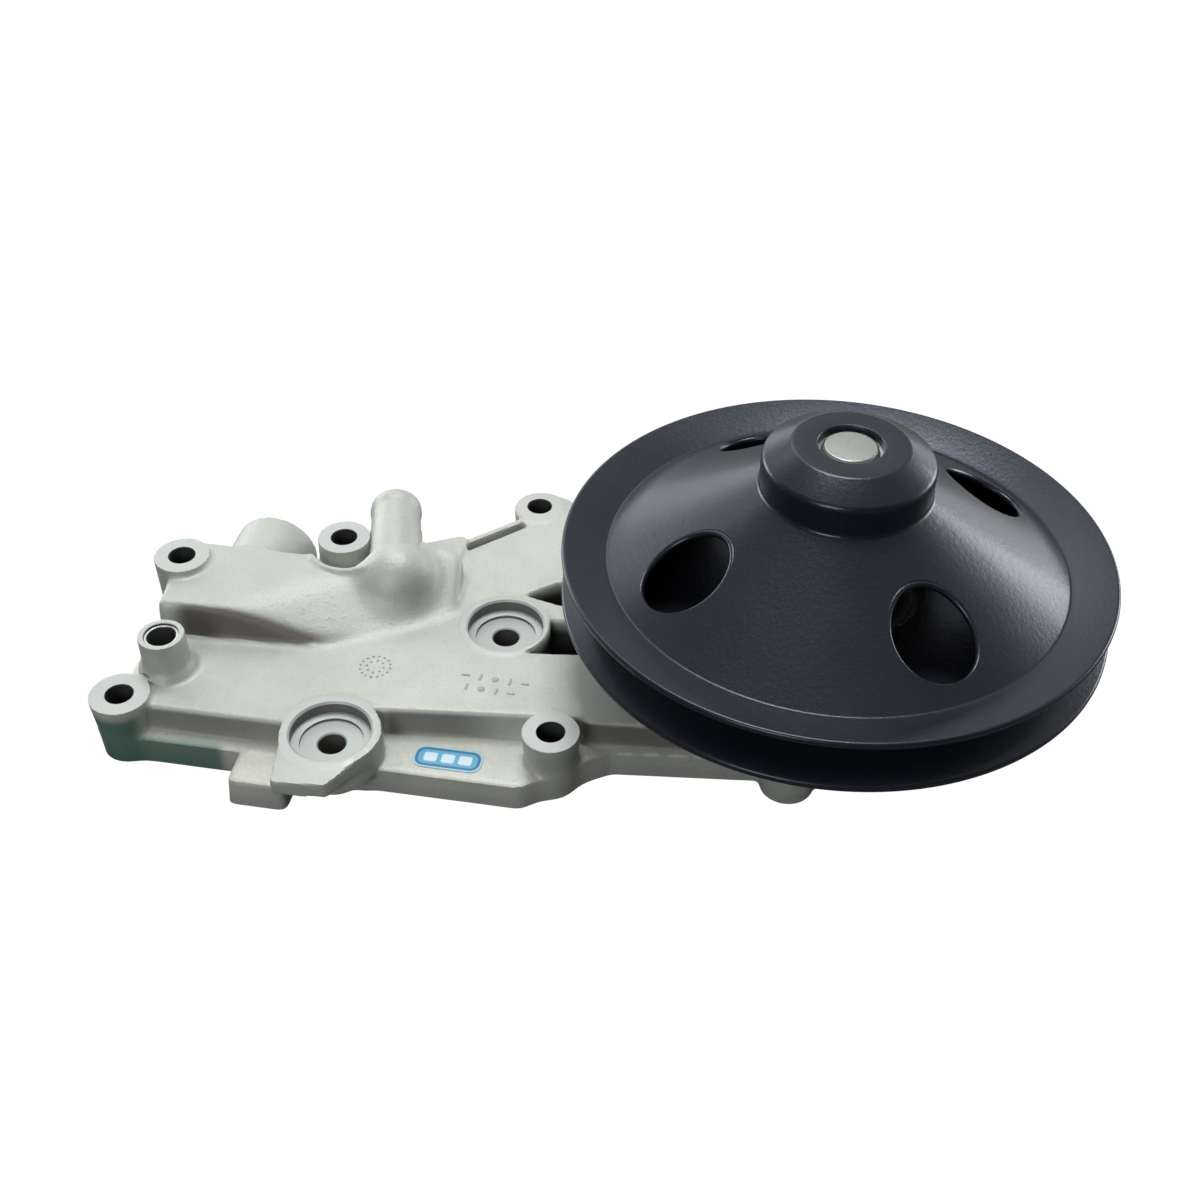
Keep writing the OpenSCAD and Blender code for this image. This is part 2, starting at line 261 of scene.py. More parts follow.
def setCamera():
    eye = bpy.data.cameras.new("camera")
    eye.lens = stage["lens"]
    eye.sensor_width = stage["film"]
    eye.clip_start = stage["nearest"]
    camera = newObject("camera", eye)
    turn = (Matrix.Rotation(math.radians(stage["heading"]), 4, "Z")
            @ Matrix.Rotation(math.radians(stage["pitch"]), 4, "X")
            @ Matrix.Rotation(math.radians(stage["roll"]), 4, "Z"))
    camera.matrix_world = Matrix.Translation(Vector(stage["cameraAt"]) * mm) @ turn
    bpy.context.scene.camera = camera


# The floor looks white to the camera and grey to everything that stands on it
def setFloor():
    work = bmesh.new()
    half = stage["floorSize"] / 2
    corners = [work.verts.new((x * half, y * half, cadBox[0][2] - stage["floorGap"]))
               for x, y in ((-1, -1), (1, -1), (1, 1), (-1, 1))]
    work.faces.new(corners)
    floor = newObject("floor", meshFromBmesh("floor", work))
    pale = bpy.data.materials.new("paleFloor")
    pale.use_nodes = True
    g = Graph(pale.node_tree)
    tone = stage["floorTone"]
    matt = g.node("ShaderNodeBsdfDiffuse", {}, {"Color": (tone, tone, tone, 1)})
    lit = g.node("ShaderNodeEmission", {}, {"Color": (1, 1, 1, 1), "Strength": stage["floorWhite"]})
    seen = g.node("ShaderNodeLightPath", {}, {}, out="Is Camera Ray")
    shader = g.node("ShaderNodeMixShader", {}, {0: seen * stage["floorShown"], 1: matt, 2: lit})
    g.node("ShaderNodeOutputMaterial", {}, {"Surface": shader})
    floor.data.materials.append(pale)


def setSky():
    world = bpy.data.worlds.new("studio")
    bpy.context.scene.world = world
    world.use_nodes = True
    g = Graph(world.node_tree)
    x, y, z = g.split(g.node("ShaderNodeTexCoord", {}, {}, out="Generated"))
    around = y.fit(-0.5, 0.5) * skyLight["back"] + skyLight["front"]
    aside = x.math("ABSOLUTE").fit(0.15, 0.6, 0.45, 1)
    horizon = y.fit(0.0, 0.6) * z.fit(0.10, 0.42, 1, 0) * aside * skyLight["horizon"]
    overhead = z.fit(0.7, 0.98) * skyLight["overhead"]
    left = x.fit(-0.25, 0.05, 1, 0) * y.fit(0.3, 0.7) * z.fit(0.42, 0.54) * z.fit(0.66, 0.78, 1, 0)
    strength = around + horizon + overhead + left * skyLight["left"]
    sky = g.node("ShaderNodeBackground", {}, {"Color": stage["skyColour"], "Strength": strength})
    g.node("ShaderNodeOutputWorld", {}, {"Surface": sky})
    bpy.context.scene.view_settings.view_transform = "Standard"


def setPanels():
    for name, at, power in panels:
        light = bpy.data.lights.new(name, "AREA")
        light.shape = "SQUARE"
        light.size = stage["panelSize"]
        light.energy = power
        light.color = stage["panelColour"]
        lamp = newObject(name, light)
        aim = (Vector(stage["target"]) - Vector(at)).to_track_quat("-Z", "Y").to_matrix().to_4x4()
        lamp.matrix_world = Matrix.Translation(at) @ aim


setCamera()
setFloor()
setSky()
setPanels()
print("stage set")

label = {"at": (-105.2, -55.0), "size": (20.6, 8.6), "thick": 0.25, "corner": 3.2, "edge": 0.08,
         "margin": 0.7, "panelCorner": 2.8, "block": (1.9, 1.7, 0.7), "blockGap": 5.2}


def newMaterial(name):
    made = bpy.data.materials.new(name)
    made.use_nodes = True
    graph = Graph(made.node_tree)
    place = graph.node("ShaderNodeTexCoord", {}, {}, out="Object")
    return made, graph, place


def closeMaterial(graph, sockets):
    shader = graph.node("ShaderNodeBsdfPrincipled", {}, sockets)
    graph.node("ShaderNodeOutputMaterial", {}, {"Surface": shader})


def noise(graph, place, scale, detail=2.0, roughness=0.5):
    sockets = {"Vector": place, "Scale": scale, "Detail": detail, "Roughness": roughness}
    return graph.node("ShaderNodeTexNoise", {}, sockets, out="Fac")


def mixColour(graph, factor, first, second):
    return graph.node("ShaderNodeMix", {"data_type": "RGBA"}, {0: factor, 6: first, 7: second}, out=2)


# One part of the surface's direction: 0 for x, 1 for y, 2 for z
def facingAlong(graph, axis):
    return graph.split(graph.node("ShaderNodeNewGeometry", {}, {}, out="Normal"))[axis]


def bump(graph, height, strength, distance, after=None):
    sockets = {"Height": height, "Strength": strength, "Distance": distance}
    if after is not None:
        sockets["Normal"] = after
    return graph.node("ShaderNodeBump", {}, sockets)


# After green come two colours of painted shade: near black for pockets, brown for walls
castFinish = {"colour": (0.485, 0.495, 0.45, 1), "dark": (0.38, 0.385, 0.355, 1),
              "cream": (0.64, 0.61, 0.52, 1), "green": (0.05, 0.16, 0.12, 1),
              "pocketShade": (0.02, 0.02, 0.02, 1), "paintedShade": (0.14, 0.12, 0.11, 1), "metallic": 0.3}
# The wall colour is painted shade for steep machined faces
machinedFinish = {"colour": (0.45, 0.46, 0.43, 1), "bright": (0.51, 0.52, 0.485, 1),
                  "wall": (0.17, 0.16, 0.15, 1)}
paintFinish = {"colour": (0.0065, 0.007, 0.011, 1), "pale": (0.011, 0.012, 0.018, 1),
               "gloss": (0.8, 0.84, 1, 1), "coat": 0.12}
turnedFinish = {"colour": (0.34, 0.335, 0.31, 1), "bright": (0.44, 0.435, 0.41, 1), "ringPitch": 14000}
filmFinish = {"colour": (0.13, 0.42, 0.62, 1), "panel": (0.42, 0.62, 0.74, 1),
              "outline": (0.03, 0.17, 0.32, 1), "block": (0.72, 0.84, 0.9, 1)}
ledgeBand = {"z": (4, 12)}
greenEnd = {"x": (-214, -172), "y": (-70, -61.3), "z": (-5, 17)}
# Painted shade: colour darkened on walls that face forward, and all over inside the pockets and round the
# tower under the pulley, where shade falls
paintedShade = {"walls": [({"x": (-197, -150), "y": (-60, -55), "z": (9, 17.6)}, 0.5, 0.0012),
                   ({"x": (-125, -84), "y": (-52, -44), "z": (9, 17.6)}, 0.7, 0.0012),
                   ({"x": (-67, -22), "y": (-49, -38), "z": (9, 17.6)}, 0.8, 0.0012),
                   ({"x": (-197.5, -140), "y": (-33, -13), "z": (14, 31)}, 1, 0.004)],
         "pockets": [({"x": (-100, -38), "y": (-18, 24), "z": (3, 15)}, 0.95),
                     ({"x": (-30, 30), "y": (-30, 30), "z": (22, 60)}, 0.85)]}


# 1 inside a box given as (low, high) in mm on each axis that is named
def inBox(graph, place, limits, soft=0.0015):
    inside = None
    for axis, wire in zip("xyz", graph.split(place)):
        if axis in limits:
            low, high = (v * mm for v in limits[axis])
            share = wire.fit(low - soft, low + soft) * wire.fit(high - soft, high + soft, 1, 0)
            inside = share if inside is None else inside * share
    return inside


def castAluminium():
    made, g, place = newMaterial("castAluminium")
    cloud = noise(g, place, 38, 4, 0.6)
    blotch = noise(g, place, 14, 2, 0.5)
    grain = noise(g, place, 1700, 3, 0.65)
    speck = noise(g, place, 620, 2, 0.6)
    yellowing = cloud.fit(0.35, 0.7) * 0.6 + inBox(g, place, ledgeBand) * 0.4
    tint = mixColour(g, yellowing, castFinish["colour"], castFinish["cream"])
    tint = mixColour(g, blotch.fit(0.45, 0.75) * 0.3, tint, castFinish["dark"])
    pits = grain.fit(0.35, 0.75) * 0.4 + speck.fit(0.6, 0.72) * 0.25
    tint = mixColour(g, pits, tint, castFinish["dark"])
    tint = mixColour(g, inBox(g, place, greenEnd, 0.002) * 0.85, tint, castFinish["green"])
    # Painted shade: walls that face forward inside the wall boxes are darkened
    facing = facingAlong(g, 1).fit(-0.3, -0.75)
    for limits, depth, soft in paintedShade["walls"]:
        tint = mixColour(g, inBox(g, place, limits, soft) * facing * depth, tint, castFinish["paintedShade"])
    # Painted shade: the pockets and the tower under the pulley are darkened to near black
    for limits, depth in paintedShade["pockets"]:
        tint = mixColour(g, inBox(g, place, limits, 0.0025) * depth, tint, castFinish["pocketShade"])
    normal = bump(g, grain + speck.fit(0.5, 0.7) * 0.6, 0.5, 0.00016)
    closeMaterial(g, {"Base Color": tint, "Roughness": cloud * 0.12 + 0.46,
                      "Metallic": castFinish["metallic"], "Normal": normal})
    return made


def machinedAluminium():
    made, g, place = newMaterial("machinedAluminium")
    grain = noise(g, place, 2600, 2, 0.5)
    cloud = noise(g, place, 60, 2, 0.5)
    # Painted shade: steep faces take the dark wall colour, flat faces the lighter tones
    level = facingAlong(g, 2).math("ABSOLUTE")
    tint = mixColour(g, cloud, machinedFinish["colour"], machinedFinish["bright"])
    tint = mixColour(g, level.fit(0.3, 0.8), machinedFinish["wall"], tint)
    normal = bump(g, grain, 0.25, 0.00008)
    closeMaterial(g, {"Base Color": tint, "Roughness": cloud * 0.1 + 0.4,
                      "Metallic": castFinish["metallic"], "Normal": normal})
    return made


def blackPaint():
    made, g, place = newMaterial("blackPaint")
    peel = noise(g, place, 650, 2, 0.55)
    fine = noise(g, place, 1800, 2, 0.5)
    cloud = noise(g, place, 30, 3, 0.55)
    tint = mixColour(g, cloud, paintFinish["colour"], paintFinish["pale"])
    normal = bump(g, peel, 0.3, 0.0002)
    normal = bump(g, fine, 0.2, 0.00008, normal)
    closeMaterial(g, {"Base Color": tint, "Roughness": cloud * 0.12 + 0.25,
                      "Specular Tint": paintFinish["gloss"], "Coat Weight": paintFinish["coat"],
                      "Coat Roughness": paintFinish["coat"], "Normal": normal})
    return made


def metal(name, colour, roughness, metallic=1.0, scale=900, depth=0.15):
    made, g, place = newMaterial(name)
    grain = noise(g, place, scale, 3, 0.6)
    cloud = noise(g, place, 50, 2, 0.5)
    darker = tuple(c * 0.8 for c in colour)
    tint = mixColour(g, cloud, (*colour, 1), (*darker, 1))
    normal = bump(g, grain, depth, 0.00008)
    closeMaterial(g, {"Base Color": tint, "Roughness": grain * 0.12 + (roughness - 0.06),
                      "Metallic": metallic, "Normal": normal})
    return made


def turnedSteel():
    made, g, place = newMaterial("turnedSteel")
    x, y, _ = g.split(place)
    radius = (x * x + y * y).math("SQRT")
    rings = (radius * turnedFinish["ringPitch"]).math("SINE")
    grain = noise(g, place, 1200, 3, 0.6)
    tint = mixColour(g, grain, turnedFinish["colour"], turnedFinish["bright"])
    normal = bump(g, rings * 0.5 + grain, 0.2, 0.00006)
    closeMaterial(g, {"Base Color": tint, "Roughness": grain * 0.15 + 0.32, "Metallic": 0.9,
                      "Normal": normal})
    return made


def softMaterial(name, colour, roughness, scale=700, depth=0.2):
    made, g, place = newMaterial(name)
    grain = noise(g, place, scale, 3, 0.6)
    lighter = tuple(min(1, c * 1.25 + 0.01) for c in colour)
    tint = mixColour(g, grain, (*colour, 1), (*lighter, 1))
    normal = bump(g, grain, depth, 0.0001)
    closeMaterial(g, {"Base Color": tint, "Roughness": grain * 0.1 + (roughness - 0.05), "Normal": normal})
    return made


# Blue film with a darker outline and three plain pale blocks
def printedFilm():
    made, g, place = newMaterial("labelFilm")
    grain = noise(g, place, 1500, 2, 0.5)
    x, y, _ = g.split(place)
    x = (x / mm - label["at"][0]).math("ABSOLUTE")
    y = (y / mm - label["at"][1]).math("ABSOLUTE")
    halfX, halfY = (size / 2 - label["margin"] for size in label["size"])

    def rounded(across, width, height, corner):
        a = (across - (width - corner)).most(0)
        b = (y - (height - corner)).most(0)
        return (a * a + b * b).math("SQRT") - corner

    panel = rounded(x, halfX, halfY, label["panelCorner"])
    outline = panel.fit(-0.95, -0.6) * panel.fit(-0.1, 0.25, 1, 0)
    blocks = [rounded(across, *label["block"]).fit(-0.2, 0.3, 1, 0)
              for across in (x, (x - label["blockGap"]).math("ABSOLUTE"))]
    tint = mixColour(g, panel.fit(-0.4, 0.4), filmFinish["colour"], filmFinish["panel"])
    tint = mixColour(g, outline, tint, filmFinish["outline"])
    tint = mixColour(g, blocks[0].most(blocks[1]), tint, filmFinish["block"])
    closeMaterial(g, {"Base Color": tint, "Roughness": grain * 0.1 + 0.35})
    return made


finishes = {
    "cast": castAluminium(), "machined": machinedAluminium(), "paint": blackPaint(),
    "turned": turnedSteel(), "steel": metal("brightSteel", (0.55, 0.55, 0.53), 0.32),
    "brass": metal("sealBrass", (0.62, 0.45, 0.2), 0.35),
    "iron": metal("castIron", (0.2, 0.19, 0.18), 0.6, 0.7, 500, 0.4),
    "rubber": softMaterial("sealRubber", (0.02, 0.02, 0.021), 0.6),
    "carbon": softMaterial("carbonRing", (0.035, 0.035, 0.04), 0.4, 1500, 0.1),
    "ceramic": softMaterial("ceramicSeat", (0.72, 0.69, 0.6), 0.3, 1500, 0.05),
    "cage": softMaterial("cagePlastic", (0.6, 0.5, 0.32), 0.5),
    # Near black inside narrow drilled holes: painted shade
    "bore": softMaterial("boltBore", (0.03, 0.03, 0.028), 0.7),
    "mark": softMaterial("castMark", (0.36, 0.365, 0.335), 0.6),
    "label": printedFilm(),
}
print("finishes made:", len(finishes))

# The casting is one distance field, sizes in mm. It is grown past its gasket face and a little past its
# bolt places, which are machined flat afterwards.
castingSizes = {"voxel": 0.8, "edge": 2.2, "fillet": 3.2, "waviness": 0.12, "triangles": 160000,
                "flangeTop": 9.0, "deckTop": 18.3, "channelTop": 29.0, "rimTop": 18.5,
                "under": -2, "spare": 0.5, "reach": 4}
# Bosses as (x, y, top, radius)
tallBosses = [(-203.8, -56.3, 20.3, 9.0), (-203.2, -3.3, 31.3, 8.7), (-155.5, 14.8, 31.3, 8.6),
              (-75.5, -49.8, 20.3, 8.5), (-100.2, 58.7, 18.6, 8.6)]
lowBosses = [(-6.8, -39.3, 12, 7.9), (44, 6, 12, 7.9), (6, 44, 12, 7.9)]
# Bosses whose faces lie below the deck, as (x, y, rim radius)
sunkBosses = [(-98.7, -4.0, 13.9), (-138.8, -58.6, 14.8)]
guideTube = {"at": (-195.2, -40.5), "top": 31.3, "radius": 7.4, "base": 9.6, "baseTop": 20.6, "bore": 5.2}
moat = {"at": (-153.2, 12.9), "radius": 11.4, "floor": 24.8, "lip": 29.9}
lump = {"from": (-135.8, 3.5, 12), "to": (-136.2, 6, 23.4), "radii": (13.5, 12.5)}
tower = {"radius": 27.8, "draft": 0.1, "foot": 2, "top": 64.9, "face": 64.5, "ledge": (28.6, 40.4, 43.8)}
ribs = {"count": 6, "first": 20, "half": 2.4, "reach": 42.5, "lean": 0.42, "top": 55}
boltHole = 4.1
sink = {"radius": 11.8, "floor": 13.4, "ledge": 9.4}
spotface = 6.8
drillFrom, drillTo = -3, 72
chamber = {"radius": 31.5, "roof": 14.0, "seal": 18, "sealRoof": 27.3, "throat": 13.4, "seat": 31,
           "bearing": 15}
weepHole = {"radius": 2.5, "height": 29.2, "from": 15}
lockHole = {"radius": 3, "height": 47, "from": 14, "turn": 50}
crossDrillTo = 45
gasketCut = {"middle": (-0.08, 0, -0.01), "size": (0.4, 0.3, 0.02)}
stub = {"x": -183.0, "z": 14.6, "radius": 13.7, "bore": 10.6, "end": 24.9}
spigot = {"root": (-140.0, 20.0, 27.0), "turn": 15.0, "press": 8.5, "bore": 6.0, "sunk": 12.0, "elbow": 17.0}


class Field:
    # Signed distances in mm over a point, negative inside
    def __init__(self, graph):
        self.graph = graph
        place = graph.node("GeometryNodeInputPosition")
        self.point = self.vector("SCALE", place, Scale=1 / mm)
        self.x, self.y, self.z = graph.split(self.point)
        self.flat = self.vector("MULTIPLY", self.point, (1, 1, 0))

    def vector(self, operation, first, second=None, out=0, **others):
        sockets = {0: first, **others}
        if second is not None:
            sockets[1] = second
        return self.graph.node("ShaderNodeVectorMath", {"operation": operation}, sockets, out=out)

    def disc(self, x, y, radius):
        return self.vector("DISTANCE", self.flat, (x, y, 0), out="Value") - radius

    def convex(self, points, corner=3.0):
        pairs = list(zip(points, points[1:] + points[:1]))
        side = 1 if sum(a[0] * b[1] - b[0] * a[1] for a, b in pairs) > 0 else -1
        reach = None
        for a, b in pairs:
            size = side * math.dist(a, b)
            nx, ny = (b[1] - a[1]) / size, (a[0] - b[0]) / size
            line = self.y.math("MULTIPLY_ADD", ny, -(a[0] * nx + a[1] * ny))
            line = self.x.math("MULTIPLY_ADD", nx, line)
            reach = line if reach is None else reach.most(line, corner)
        return reach

    # Flat shape raised from low to high, its walls leaning in by draft
    def block(self, flat, low, high, edge=1.0, draft=0.0):
        if draft:
            flat = self.z.math("MULTIPLY_ADD", draft, flat) - draft * low
        return flat.most(self.z - high, edge).most(low - self.z)

    # All that is behind a wall whose foot runs from start to end at a height, leaning back by degrees
    def wall(self, start, end, foot, lean=0.0):
        along = (Vector(end) - Vector(start)).normalized() * math.cos(math.radians(lean))
        outward = Vector((along.y, -along.x, math.sin(math.radians(lean))))
        distance = self.vector("DOT_PRODUCT", self.point, tuple(outward), out="Value")
        return distance - outward.dot(Vector((*start, foot)))

    def rod(self, start, end, radius, endRadius=None):
        endRadius = radius if endRadius is None else endRadius
        along = Vector(end) - Vector(start)
        offset = self.vector("SUBTRACT", self.point, start)
        share = self.vector("DOT_PRODUCT", offset, tuple(along / along.length_squared), out="Value")
        share = share.most(0).least(1)
        nearest = self.vector("SCALE", tuple(along), Scale=share)
        gap = self.vector("DISTANCE", offset, nearest, out="Value")
        return gap - share.math("MULTIPLY_ADD", endRadius - radius, radius)


def union(shapes, blend):
    whole = shapes[0]
    for shape in shapes[1:]:
        whole = whole.least(shape, blend)
    return whole


def flangeShape(f):
    parts = [f.convex([(-211.5, -57), (-206, -62.6), (-128, -62.6), (-128, 8), (-203, 6.5), (-211.5, -2)], 5),
             f.convex([(-134, -62.6), (-82.4, -62.6), (-60.3, -45), (-56, 20), (-134, 8)], 2),
             f.convex([(-66, -45.4), (-24.8, -41), (0, -38), (34, 0), (34, 26), (6, 44), (-66, 30)]),
             f.convex([(-130, 6), (-128, 36), (-106, 62), (-92, 65), (-30, 41), (-30, 0)]),
             f.disc(0, 0, 39.3), f.disc(*guideTube["at"], 9.5)]
    outline = union(parts, 5)
    for x, y, _, radius in tallBosses + lowBosses:
        outline = outline.least(f.disc(x, y, radius - 1.8), 6)
    return f.block(outline, castingSizes["under"], castingSizes["flangeTop"], 1.0, 0.02)


def deckShape(f, edge):
    parts = [f.convex([(-205, -30), (-196, -58.4), (-150, -58.4), (-150, 6), (-200, 6), (-205, -4)]),
             f.convex([(-156, -51.6), (-84, -43.7), (-40, -38.8), (-40, 30), (-156, 8)]),
             f.convex([(-68, -42.6), (-20, -38.6), (26, 0), (26, 28), (-66, 34)]),
             f.convex([(-132, 4), (-123, 31), (-104, 48), (-92, 60), (-30, 38), (-30, 0)], 1.5),
             f.disc(0, 0, 35.8)]
    lug = f.convex([(-108.4, 55), (-104.5, 65.3), (-96, 67.4), (-90, 66.5), (-84, 56), (-97, 44),
                    (-104.5, 47.5)], 2)
    outline = union(parts + [lug], 1.5)
    return f.block(outline, castingSizes["under"], castingSizes["deckTop"], edge, 0.03)


# Raised channel: level on the left, its top then slopes down to the right and to the front
def channelShape(f):
    deck = castingSizes["deckTop"]
    left = f.convex([(-206, -3), (-203, -29), (-150, -29), (-150, 8), (-203, 8)], 4)
    right = f.convex([(-170, -29), (-140, -26), (-115, -2), (-117, 19), (-148, 22.5), (-166, 8)], 6)
    corner = f.wall((-155, -25.4), (-142, -18.9), deck, 12)
    front = f.wall((-199, -26.2), (-155, -24), deck, 12).most(corner, 4)
    slope = f.wall((-150.2, 0), (-140, 6.97), castingSizes["channelTop"], 62.52)
    back = f.wall((-140, 17.51), (-160, 8.34), 0)
    collar = f.disc(*moat["at"], moat["radius"] + 1.9).most(back, 1).most(f.z - moat["lip"], 1)
    body = left.least(right, 5).most(front, 2.5).most(f.z - castingSizes["channelTop"], 3.5)
    body = body.most(slope, 4).least(collar, 1).most(5 - f.z)
    return union([body, f.rod(lump["from"], lump["to"], *lump["radii"])], 7)


# Thin bead along the foot of the channel's front wall
def footBead(f):
    height, radius = 18.1, 0.8
    corner = (-155, -24.4, height)
    tail = f.rod(corner, (-142, -18.5, height), radius, 0.3)
    return f.rod((-199, -27.2, height), corner, radius).least(tail, 1)


def bossShapes(f, body):
    under, spare = castingSizes["under"], castingSizes["spare"]
    for x, y, top, radius in tallBosses:
        lean = 0.08 if top < 22 else 0.02
        faced = spare if top > 19 else 0
        foot = f.disc(x, y, radius - lean * (top - under))
        body = body.least(f.block(foot, under, top + faced, 0.9, -lean), 2.4)
    for x, y, top, radius in lowBosses:
        body = body.least(f.block(f.disc(x, y, radius), under, top + spare, 0.9), 2)
    for x, y, radius in sunkBosses:
        body = body.least(f.block(f.disc(x, y, radius), 7, castingSizes["rimTop"] + 0.4, 0.8), 1.2)
        body = body.least(f.block(f.disc(x, y, 8), under, 14), 2)
    base = f.block(f.disc(*guideTube["at"], guideTube["base"]), under, guideTube["baseTop"], 2.5, 0.05)
    tube = f.block(f.disc(*guideTube["at"], guideTube["radius"]), 5, guideTube["top"] + spare, 0.8, 0.02)
    return body.least(base, 2.5).least(tube, 3)


# Ring-shaped moat round the boss that stands in the channel
def moatShape(f):
    x, y, _, radius = tallBosses[2]
    ring = f.disc(*moat["at"], moat["radius"]).most(-f.disc(x, y, radius + 0.1))
    return f.block(ring, moat["floor"], drillTo)


def towerShape(f):
    radial = f.vector("LENGTH", f.flat, out="Value")
    cone = f.z.math("MULTIPLY_ADD", tower["draft"], radial) - tower["radius"]
    reach, low, high = tower["ledge"]
    body = f.block(cone, tower["foot"], tower["top"], 1.2).least(f.block(radial - reach, low, high, 0.8), 2)
    for k in range(ribs["count"]):
        a = math.radians(ribs["first"] + 360 / ribs["count"] * k)
        along = f.x * math.cos(a) + f.y * math.sin(a)
        across = (f.x * -math.sin(a) + f.y * math.cos(a)).math("ABSOLUTE") - ribs["half"]
        slope = f.z.math("MULTIPLY_ADD", ribs["lean"], along) - ribs["reach"]
        body = body.least(across.most(slope, 1.2).most(-along).most(f.z - ribs["top"]), 2.5)
    return body


# Foot and lobe at the front, by the left sunk boss
def frontPieces(f, body):
    foot = f.convex([(-167, -75), (-148.8, -75), (-148.8, -56), (-167, -56)], 4)
    body = body.least(f.block(foot, castingSizes["under"], castingSizes["flangeTop"], 1.0, 0.08), 1.0)
    lobe = f.convex([(-153.6, -56), (-149.6, -80.9), (-133.4, -79.4), (-130, -73), (-124.6, -64),
                     (-124, -56)], 1.5)
    return body.least(f.block(lobe, 13.2, castingSizes["rimTop"] - 0.1, 0.7), 1.2)


# Flat strip laid from one point to another, as wide as given
def strip(f, start, end, width):
    along = (Vector(end) - Vector(start)).normalized() * width / 2
    side = Vector((-along.y, along.x))
    corners = [Vector(start) - side, Vector(end) - side, Vector(end) + side, Vector(start) + side]
    return f.convex([tuple(corner) for corner in corners], 0.3)


# Gusset, thin rib and groove at the back, and the two pockets round the middle sunk boss
def backPieces(f, body):
    under, ribTop = castingSizes["under"], castingSizes["deckTop"] + 0.7
    gusset = f.convex([(-122, 18), (-119.6, 34), (-121, 37), (-123, 37.4), (-130, 33.8), (-136, 30.5),
                       (-138, 18)], 1)
    body = body.least(f.block(gusset, under, ribTop + 0.2, 0.7), 1.5)
    rib = strip(f, (-122.2, 33.3), (-104.6, 50.1), 2.2)
    groove = strip(f, (-119.4, 32.6), (-103.2, 48.1), 2.1)
    body = body.least(f.block(rib, under, ribTop, 0.6), 0.6)
    body = body.most(-f.block(groove, 8, drillTo), 0.4)
    x, y, radius = sunkBosses[0]
    back = f.convex([(-94.5, 12.2), (-85.4, 19.6), (-46, 22.5), (-42, 12), (-83, 9.2)], 1.5)
    front = f.convex([(-85, 0.6), (-42, 4), (-41, -7), (-75, -13), (-90, -14.5)], 1.5)
    for flat in (back, front.most(-f.disc(x, y, radius + 0.5), 1)):
        body = body.most(-f.block(flat, 4, drillTo, 0.5, -0.03), 1.6)
    return body


# Water way inside the casting, open at the gasket face
def galleryShape(f):
    parts = [f.convex([(-190, -28), (-184, -52), (-160, -53), (-152, -40), (-140, 3), (-187, 3.5),
                       (-190, 0)]),
             f.convex([(-160, -40), (-126, -38), (-112, -41), (-112, -22), (-122, -14), (-128, 2),
                       (-160, 4)]),
             f.convex([(-116, -41), (-92, -37), (-60, -36), (-50, -16), (-82, -18), (-116, -22)]),
             f.convex([(-62, -36), (-22, -22), (-22, -6), (-34, -9), (-62, -17)])]
    low = f.block(union(parts, 3), -5, 13.6, 2, 0.04)
    upper = f.convex([(-198, -2), (-195, -20), (-174, -20), (-160, -8), (-150, 3), (-190, 3)])
    high = f.block(upper, -5, 23.6, 3, 0.04).most(union(parts, 3))
    hollow = low.least(high, 2)
    for x, y, _ in sunkBosses:
        hollow = hollow.most(-f.disc(x, y, 9.5), 1.5)
    return hollow


def housingField(f, edge, fillet, waviness):
    body = flangeShape(f).least(deckShape(f, edge), fillet)
    body = body.least(channelShape(f), fillet).least(footBead(f), 0.8)
    body = bossShapes(f, body)
    body = body.most(-moatShape(f), 1.4)
    body = body.least(towerShape(f), 5)
    body = frontPieces(f, body)
    body = backPieces(f, body)
    level = f.vector("MULTIPLY", f.point, (1, 0, 1))
    across = f.vector("DISTANCE", level, (stub["x"], 0, stub["z"]), out="Value")
    pipe = (across - stub["radius"]).most(f.y - stub["end"], 1.2).most(-6 - f.y)
    body = body.least(pipe, 3)
    body = body.most(-galleryShape(f), 1)
    wave = f.graph.node("ShaderNodeTexNoise", {}, {"Vector": f.point, "Scale": 0.09, "Detail": 2.0})
    return body + (wave - 0.5) * waviness


def socketKey(tree, name):
    return next(item.identifier for item in tree.interface.items_tree
                if item.item_type == "SOCKET" and item.in_out == "INPUT" and item.name == name)


# Tree that skins a distance field; the sizes are its inputs, and all but the voxel go to the field
def fieldTree(name, build, low, high, sizes):
    inputs = dict.fromkeys(sizes, "Float") | {"Finish": "Material"}
    tree, g, given = newTree(name, inputs)
    distance = build(Field(g), *[given[size] for size in sizes if size != "Voxel"])
    reach = castingSizes["reach"]
    inside = (-distance).most(-reach).least(reach)
    counts = [(b - a) / given["Voxel"] for a, b in zip(low, high)]
    cube = g.node("GeometryNodeVolumeCube", {}, {
        "Density": inside, "Background": -reach, "Min": tuple(v * mm for v in low),
        "Max": tuple(v * mm for v in high), "Resolution X": counts[0], "Resolution Y": counts[1],
        "Resolution Z": counts[2]})
    skin = g.node("GeometryNodeVolumeToMesh", {"resolution_mode": "GRID"}, {"Volume": cube, "Threshold": 0.0})
    painted = g.node("GeometryNodeSetMaterial", {}, {"Geometry": skin, "Material": given["Finish"]})
    solid = g.node("GeometryNodeRealizeInstances", {}, {"Geometry": painted})
    g.node("NodeGroupOutput", {}, {"Geometry": solid})
    return tree


def grow(piece, tree, values):
    growth = piece.modifiers.new("growth", "NODES")
    growth.node_group = tree
    for name, value in values.items():
        growth[socketKey(tree, name)] = value
    return applyModifiers(piece)


castingFinishes = ("cast", "machined", "bore")
castingBox = (-214, -84, -3), (55, 72, 68)
narrowBore = 5.3


